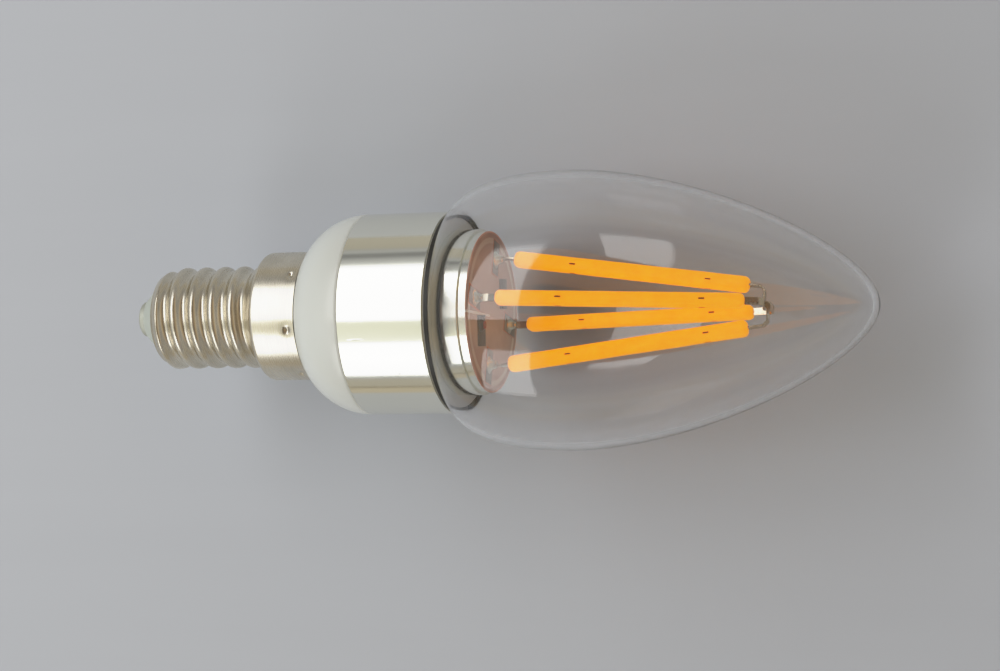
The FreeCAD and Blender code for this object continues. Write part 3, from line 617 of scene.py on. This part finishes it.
# %% Clear cover
clear_glass, tree, shader = new_material("clear_glass")
fill(tree, shader, {
    "Transmission Weight": 1.0, "Roughness": 0.0, "IOR": 1.45, "Base Color": (1, 1, 1, 1),
    "Normal": bump(tree, noise(tree, 90, 1.0), 0.1, 0.02)})

COVER_WALL = 0.9
FOOT_RADIUS = 13.45
BELLY_PLACE = 14.7
FOOT_ANGLE = math.radians(68)
FOOT_REACH = 4.0
REAR_REACH = 6.5
FRONT_REACH = 17.0
TIP_FULLNESS = 7.0
REAR_STEPS = 26
FRONT_STEPS = 44


def cover_curve(inset):
    """Half the cover's section from foot to tip, inset from its outer face in millimetres."""
    foot = (COVER_FOOT, FOOT_RADIUS - inset)
    belly = (COVER_FOOT + BELLY_PLACE, BELLY_RADIUS - inset)
    tip = (COVER_TIP - inset, 0)
    foot_handle = (foot[0] + FOOT_REACH * math.cos(FOOT_ANGLE),
                   foot[1] + FOOT_REACH * math.sin(FOOT_ANGLE))
    tip_handle = (tip[0], TIP_FULLNESS - inset / 2)
    rear = bezier([foot, foot_handle, (belly[0] - REAR_REACH, belly[1]), belly], REAR_STEPS)
    front = bezier([belly, (belly[0] + FRONT_REACH, belly[1]), tip_handle, tip], FRONT_STEPS)
    return rear + front[1:]


cover_outline = cover_curve(0) + cover_curve(COVER_WALL)[::-1]
cover = lathe("clear_cover", cover_outline, steps=192)
dress(cover, clear_glass, "clear_cover", "cover")

# %% [markdown]
# ## LED board
# The board is a metal-core disc: aluminium with a thin insulating face, which looks a dull
# pinkish brown with the copper under it. The colours follow the distance from the axis, with
# a paler band near the rim and a copper line at the edge. One straight gap shows the pale
# insulation.

# %% LED board
RINGS = ((0.0, "C4AC9E"), (0.84, "BCA092"), (0.86, "D8CCC0"), (0.91, "D8CCC0"),
         (0.93, "B89688"), (0.975, "B89688"), (0.985, "E8B4A0"))
GAP_SLOPE = 0.063
GAP_MOVE = 0.563
GAP_HALF = 0.17
GAP_START = 1.0
board_face, tree, shader = new_material("copper_board_face")
share = calculate(tree, "DIVIDE", distance_off_axis(tree), BOARD_RADIUS * MM)
rings = ramp(tree, share, [(part, linear(hue)) for part, hue in RINGS])
stain = span(tree, noise(tree, 420, 4.0), 0.3, 0.7, 0.0, 0.5)
worn = blend(tree, stain, rings, linear("D4C0B4"))
height = coordinate(tree, "Z")
slant = calculate(tree, "MULTIPLY_ADD", height, -GAP_SLOPE, GAP_MOVE * MM)
across = calculate(tree, "ADD", coordinate(tree, "Y"), slant)
close = calculate(tree, "LESS_THAN", calculate(tree, "ABSOLUTE", across), GAP_HALF * MM)
upper = calculate(tree, "GREATER_THAN", height, GAP_START * MM)
gap = calculate(tree, "MULTIPLY", close, upper)
fill(tree, shader, {
    "Base Color": blend(tree, gap, worn, linear("F2F0EA")), "Roughness": 0.45, "IOR": 1.5})

BOARD_TOP = PAD_FACE - 0.07
FACE_LAYER = 0.12
FACE_EDGE = 0.03
BOARD_EDGE = 0.02
core_top = BOARD_TOP - FACE_LAYER
core_outline = [
    (STEP_FACE, 0), (STEP_FACE, BOARD_RADIUS - BOARD_EDGE), (STEP_FACE + BOARD_EDGE, BOARD_RADIUS),
    (STEP_FACE + 2 * BOARD_EDGE, BOARD_RADIUS), (core_top, BOARD_RADIUS), (core_top, 0)]
core = lathe("board_core", core_outline, steps=160, closed=False)
dress(core, aluminium, "aluminium", "led_board")
face_outline = [(core_top, 0), (core_top, BOARD_RADIUS), (BOARD_TOP - FACE_EDGE, BOARD_RADIUS),
                (BOARD_TOP, BOARD_RADIUS - FACE_EDGE), (BOARD_TOP, 0)]
face = lathe("board_face", face_outline, steps=160, closed=False)
dress(face, board_face, "led_board")

# %% [markdown]
# ## Pads, solder and tinned metal
# Each filament stands on a pad: a copper frame with a duller tinned field inside. Solder wets
# both and freezes as a hollow-sided cone. Two dark pads take the wires from the driver, each
# under a round drop of solder with browned flux on it.

# %% Pads and solder
tab_metal, tree, shader = new_material("tinned_steel")
fill(tree, shader, {
    "Metallic": 1.0, "Base Color": linear("C9BDA8"),
    "Roughness": span(tree, noise(tree, 1500, 3.0), low=0.15, high=0.35)})

solder, tree, shader = new_material("solder")
cloud = noise(tree, 1100, 3.0)
fill(tree, shader, {
    "Metallic": 1.0, "Base Color": linear("BDB5A2"),
    "Roughness": span(tree, cloud, low=0.15, high=0.35),
    "Normal": bump(tree, cloud, 0.5, 0.05)})


def grained(name, hex_dark, hex_light, scale, roughness, metallic=0.0, detail=4.0):
    """A plain finish: two close colours in a fine grain."""
    material, tree, shader = new_material(name)
    fill(tree, shader, {
        "Base Color": two_tones(tree, noise(tree, scale, detail), hex_dark, hex_light),
        "Roughness": roughness, "Metallic": metallic})
    return material


copper = grained("bare_copper", "C98462", "D89A78", 900, 0.35, 1.0)
tin_field = grained("dull_tin", "8F8478", "A39A8E", 900, 0.5, 0.4)
flux = grained("browned_flux", "4A3A2C", "63503C", 900, 0.3)

FILAMENT_ANGLE = -14.1
FOOT_OFFSET = 7.1
PAD_BASE = BOARD_TOP - 0.01
PAD_HALF = 1.3
PAD_INNER = 4.9
PAD_OUTER = 9.7
FRAME = 0.16
FRAME_FACE = BOARD_TOP + 0.035
FILLET_BASE = PAD_FACE - 0.03
FILLET_RADIUS = 1.15
FILLET_TOP = 0.55
FILLET_END = PAD_FACE + 1.0
for quarter in range(4):
    turn = FILAMENT_ANGLE + 90 * quarter
    rim = slab(f"pad_frame_{quarter + 1}", (PAD_BASE, PAD_INNER, -PAD_HALF),
               (FRAME_FACE, PAD_OUTER, PAD_HALF), 0.015, 2)
    put(rim, turn)
    dress(rim, copper, "led_board")
    field = slab(f"pad_field_{quarter + 1}", (BOARD_TOP, PAD_INNER + FRAME, FRAME - PAD_HALF),
                 (PAD_FACE, PAD_OUTER - FRAME, PAD_HALF - FRAME), 0.03, 2)
    put(field, turn)
    dress(field, tin_field, "solder")
    fillet_outline = [(FILLET_BASE, 0), (FILLET_BASE, FILLET_RADIUS)]
    fillet_outline += bezier([(PAD_FACE, FILLET_RADIUS), (PAD_FACE + 0.1, FILLET_TOP + 0.2),
                              (PAD_FACE + 0.45, FILLET_TOP),
                              (FILLET_END - 0.15, FILLET_TOP - 0.03)], 12)
    fillet_outline += [(FILLET_END, FILLET_TOP - 0.2), (FILLET_END, 0)]
    fillet = lathe(f"solder_fillet_{quarter + 1}", fillet_outline, steps=40, closed=False)
    smooth(fillet, 60)
    put(fillet, turn, move=(0, FOOT_OFFSET, 0))
    dress(fillet, solder, "solder", "solder_joints")

WIRE_PAD = (1.7, 4.6)
WIRE_PAD_ENDS = (0.4, 4.4)
WIRE_PAD_HALF = 1.5
DROP_BASE = PAD_FACE - 0.02
DROP_RADIUS = 0.95
DROP_RISE = 0.55
DROP_SHIFT = 0.2
drop_bow = (DROP_RADIUS ** 2 + DROP_RISE ** 2) / (2 * DROP_RISE)
drop_edge = math.degrees(math.asin(DROP_RADIUS / drop_bow))
for side in (1, -1):
    name = "upper" if side == 1 else "lower"
    y, z = -side * WIRE_PAD[0], side * WIRE_PAD[1]
    low, high = sorted(-side * end for end in WIRE_PAD_ENDS)
    pad = slab(f"wire_pad_{name}", (PAD_BASE, low, z - WIRE_PAD_HALF),
               (PAD_FACE, high, z + WIRE_PAD_HALF), 0.03, 2)
    dress(pad, flux, "led_board")
    drop_outline = [(DROP_BASE, 0), (DROP_BASE, DROP_RADIUS)]
    drop_outline += arc((PAD_FACE + DROP_RISE - drop_bow, 0), drop_bow, drop_edge, 0, 12)
    drop = lathe(f"solder_drop_{name}", drop_outline, steps=40, closed=False)
    smooth(drop, 60)
    put(drop, move=(0, y, z + side * DROP_SHIFT))
    dress(drop, flux, "solder")

# %% [markdown]
# ## Filaments
# Each filament is a strip of small LEDs under a silicone coat full of phosphor, which is why
# it is a deep yellow-orange when it is off. The coat is dull, scatters light inside, and was
# put on wet, so its ends are round and its width wavers a little. The phosphor also glows
# under daylight, which is why it looks brighter than any paint: a weak emission paints that
# glow in, the same under any light. The strip shows through as two short brown marks on each
# side of the coat.

# %% Filaments
phosphor, tree, shader = new_material("phosphor_coat")
cloud = noise(tree, (500, 700, 700), 4.0)
# Painted glow: the weak emission below lights the coat the same under any lamp.
fill(tree, shader, {
    "Base Color": ramp(tree, cloud, ((0.3, (0.90, 0.30, 0.008, 1)), (0.7, (1.0, 0.40, 0.014, 1)))),
    "Roughness": 0.5, "IOR": 1.41,
    "Normal": bump(tree, cloud, 0.3, 0.05),
    "Subsurface Weight": 0.35, "Subsurface Scale": 1.0,
    "Subsurface Radius": (0.9 * MM, 0.45 * MM, 0.1 * MM),
    "Emission Color": (1.0, 0.38, 0.004, 1), "Emission Strength": 0.68})
strip_brown = grained("strip_seen_through", "8A4A10", "A85C14", 900, 0.5)

FILAMENT_FOOT = PAD_FACE + 2.6
FILAMENT_LENGTH = 31.2
HEAD_OFFSET = 2.78
FILAMENT_DEPTH = 2.12
FILAMENT_WIDTH = 1.88
FILAMENT_ROUND = 0.72
SECTIONS = 24
SWELL = 0.015
MARK_STATIONS = (8.1, 26.2)
MARK_LENGTH = 0.8
MARK_WIDTH = 0.24
deep, wide = FILAMENT_DEPTH / 2, FILAMENT_WIDTH / 2
run = math.hypot(HEAD_OFFSET - FOOT_OFFSET, FILAMENT_LENGTH)
lean = math.degrees(math.atan2(HEAD_OFFSET - FOOT_OFFSET, FILAMENT_LENGTH))
for quarter in range(4):
    number = quarter + 1
    turn = FILAMENT_ANGLE + 90 * quarter
    bar = slab(f"phosphor_filament_{number}", (0, -deep, -wide), (run, deep, wide), FILAMENT_ROUND)
    select_only(bar)
    bpy.ops.object.mode_set(mode="EDIT")
    for cut in range(1, SECTIONS):
        bpy.ops.mesh.select_all(action="SELECT")
        bpy.ops.mesh.bisect(plane_co=(run * cut / SECTIONS * MM, 0, 0), plane_no=(1, 0, 0))
    bpy.ops.object.mode_set(mode="OBJECT")
    for vertex in bar.data.vertices:
        x = vertex.co.x / MM
        wave = math.sin(x * 1.3 + quarter * 2.1) + math.sin(x * 0.57 + quarter)
        swell = 1 - SWELL + SWELL * wave / 2
        vertex.co.y *= swell
        vertex.co.z *= swell
    put(bar, turn, lean, (FILAMENT_FOOT, FOOT_OFFSET, 0))
    smooth(bar, 50)
    dress(bar, phosphor, "phosphor", f"filament_{number}")
    marks = []
    for station in MARK_STATIONS:
        for y, z in ((deep, MARK_WIDTH / 2), (MARK_WIDTH / 2, wide)):
            marks.append(slab(f"strip_mark_{number}", (station - MARK_LENGTH / 2, -y, -z),
                              (station + MARK_LENGTH / 2, y, z), 0.04, 2))
    select_only(marks[0])
    for mark in marks[1:]:
        mark.select_set(True)
    bpy.ops.object.join()
    put(marks[0], turn, lean, (FILAMENT_FOOT, FOOT_OFFSET, 0))
    dress(marks[0], strip_brown, "phosphor")

# %% [markdown]
# ## Parts that keep their CAD shape
# Flat tabs and the parts inside the housing have the right shape already, so they only get
# their finish.

# %% CAD nodes' materials
HIDDEN = {
    "driver_board": ("glass_epoxy_board", "2E5B33", "3B6B40", 900, 0.45),
    "smoothing_capacitor": ("shrunk_sleeve", "161C28", "232B3A", 500, 0.3),
    "choke": ("wound_ferrite", "3A3230", "54463E", 1600, 0.6),
    "bridge_rectifier": ("rectifier_moulding", "17171A", "232326", 1500, 0.5),
    "driver_chip": ("chip_moulding", "141416", "202023", 1500, 0.5),
    "fuse_resistor": ("lacquered_resistor", "4A6356", "5E7B6C", 900, 0.35),
    "live_wire": ("red_insulation", "8E1B16", "A5261E", 700, 0.4),
    "neutral_wire": ("white_insulation", "C9C9C4", "DCDCD8", 700, 0.4),
    "led_wire_positive": ("thin_red_insulation", "8E1B16", "A5261E", 700, 0.4),
    "led_wire_negative": ("thin_black_insulation", "151515", "242424", 700, 0.4),
}
finishes = {f"filament_{kind}_{number}": tab_metal
            for number in range(1, 5) for kind in ("foot", "head")}
finishes.update({node: grained(*recipe) for node, recipe in HIDDEN.items()})
for node, finish in finishes.items():
    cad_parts[node].data.materials.clear()
    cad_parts[node].data.materials.append(finish)

# %% [markdown]
# ## Floor and light
# The bulb lies over pale grey paper. The paper ends on the near side, and the beige table top
# under it goes on. Two soft boxes hang above the cap's side, across the axis, with a dimmer
# strip between them. They are wide but short, so the polished ring shows long bands while the
# clear cover catches only small bright patches. The rest of the room is a fill by direction.
# Overhead it is white on the cap's side, dark round the camera and brown beyond the tip. Lower
# down it is the same on every side: a dark streak, and a beige horizon under it.

# %% Floor
FLOOR_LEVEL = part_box("cover")[0][2] - 0.3 * MM
TABLE_LEVEL = FLOOR_LEVEL - 0.08 * MM
PAPER_NEAR = -0.14
TABLE_NEAR = -1.8
FLOOR_FAR = 0.2
FLOOR_LENGTH = 4
paper = grained("grey_paper", "CAD0D9", "CED4DD", 40, 0.9, detail=5.0)
beige = grained("beige_table", "CFC6B1", "D6CDB9", 60, 0.8, detail=3.0)
for name, finish, near, level in (("paper_sheet", paper, PAPER_NEAR, FLOOR_LEVEL),
                                  ("table_top", beige, TABLE_NEAR, TABLE_LEVEL)):
    bpy.ops.object.select_all(action="DESELECT")
    bpy.ops.mesh.primitive_plane_add(size=1, location=(0, (near + FLOOR_FAR) / 2, level))
    floor = bpy.context.object
    floor.name = name
    floor.scale = (FLOOR_LENGTH, FLOOR_FAR - near, 1)
    floor.data.materials.append(finish)

# %% Room
SIDES = ((-1.0, (0.7, 0.7, 0.7)), (-0.33, (1.0, 1.0, 1.0)), (-0.2, (0.14, 0.11, 0.09)),
         (0.12, (0.2, 0.15, 0.12)), (0.5, (0.66, 0.5, 0.3)), (0.9, (0.75, 0.68, 0.55)))
BEIGE = (1.08, 1.0, 0.84)
GREY = (1.0, 1.0, 1.0)
STREAKS = ((0.0, 0.41, BEIGE), (0.16, 0.39, BEIGE), (0.2, 0.36, GREY), (0.23, 0.44, GREY),
           (0.26, 0.44, GREY), (0.285, 0.21, GREY), (0.345, 0.21, GREY), (0.4, 0.42, GREY),
           (0.46, 0.5, GREY), (0.56, 0.85, GREY), (0.8, 0.7, GREY), (0.945, 0.5, GREY),
           (0.97, 1.2, GREY))
SIDES_ABOVE = 0.6
PLAIN_BELOW = 0.35
world = bpy.data.worlds.new("dim_room")
bpy.context.scene.world = world
world.use_nodes = True
tree = world.node_tree
way = add(tree, "ShaderNodeTexCoord")
split = add(tree, "ShaderNodeSeparateXYZ", {"Vector": way.outputs["Generated"]})
east = span(tree, split.outputs["X"], -1.0, 1.0)
side = ramp(tree, east, [((x + 1) / 2, (*hue, 1)) for x, hue in SIDES])
rise = ramp(tree, split.outputs["Z"],
            [(height, (*[level * part for part in hue], 1)) for height, level, hue in STREAKS])
plain = span(tree, split.outputs["Z"], SIDES_ABOVE, PLAIN_BELOW)
walls = blend(tree, plain, side, (1, 1, 1, 1))
fill(tree, tree.nodes["Background"], {
    "Color": blend(tree, 1.0, walls, rise, "MULTIPLY"), "Strength": 1.0})

# %% Soft boxes
def soft_box(name, centre, tilt, size, radiance, hex_colour="FFFFFF"):
    """A rectangular light, facing down or tilted about X by degrees to face the bulb."""
    data = bpy.data.lights.new(name, "AREA")
    data.shape = "RECTANGLE"
    data.size, data.size_y = size
    data.energy = radiance * math.pi * size[0] * size[1]
    data.color = linear(hex_colour)[:3]
    lamp = bpy.data.objects.new(name, data)
    bpy.context.scene.collection.objects.link(lamp)
    lamp.location = centre
    lamp.rotation_euler = Euler((math.radians(tilt), 0, 0))
    print(name, "power", round(data.energy, 2), "W")


soft_box("soft_box_far", (-0.183, 0.245, 0.400), 0, (0.206, 0.590), 2.4)
soft_box("soft_edge", (-0.183, 0.580, 0.400), 0, (0.206, 0.080), 0.5)
soft_box("dim_strip", (-0.183, -0.155, 0.400), 0, (0.206, 0.210), 0.35, "FFFFC8")
soft_box("soft_box_near", (-0.160, -0.359, 0.271), 53.0, (0.160, 0.328), 2.4)

# %% [markdown]
# ## Camera
# A short telephoto view from above the cover, tilted back towards the cap. Lengths are in
# millimetres. RING_OFFSET is where the shelf's centre lies from the middle of the picture.

# %% Camera
LENS = 79.2
SENSOR = 36
CAMERA_DISTANCE = 289.1
TILT = math.radians(18.02)
ROLL = math.radians(-1.02)
RING_OFFSET = (-5.70, 3.00)
bpy.ops.object.camera_add()
camera = bpy.context.object
camera.data.lens = LENS
camera.data.sensor_width = SENSOR
camera.data.clip_start = 10 * MM
turn = Euler((0, TILT, 0)).to_matrix() @ Euler((0, 0, ROLL)).to_matrix()
right, up, back = turn.col[0], turn.col[1], turn.col[2]
seen = Vector((SHELF, 0, 0))
place = seen - right * RING_OFFSET[0] - up * RING_OFFSET[1] + back * CAMERA_DISTANCE
camera.matrix_world = Matrix.Translation(place * MM) @ turn.to_4x4()
bpy.context.scene.camera = camera

# %% [markdown]
# ## Camera response
# The photo's camera holds its brightest tones just under white. A curve leaves linear values
# up to 0.72 as they are and rolls off the brighter ones, which reach white only at 3.

# %% Camera response
WHITE = 3.0
ROLL_OFF = ((0.4, 0.4), (0.72, 0.72), (0.95, 0.87), (1.6, 0.95))
ALL_CHANNELS = 3
colour = bpy.context.scene.view_settings
colour.view_transform = "Standard"
colour.use_curve_mapping = True
response = colour.curve_mapping
response.white_level = (WHITE, WHITE, WHITE)
curve = response.curves[ALL_CHANNELS]
for level, shown in ROLL_OFF:
    curve.points.new(level / WHITE, shown)
for point in curve.points:
    point.handle_type = "VECTOR"
response.update()
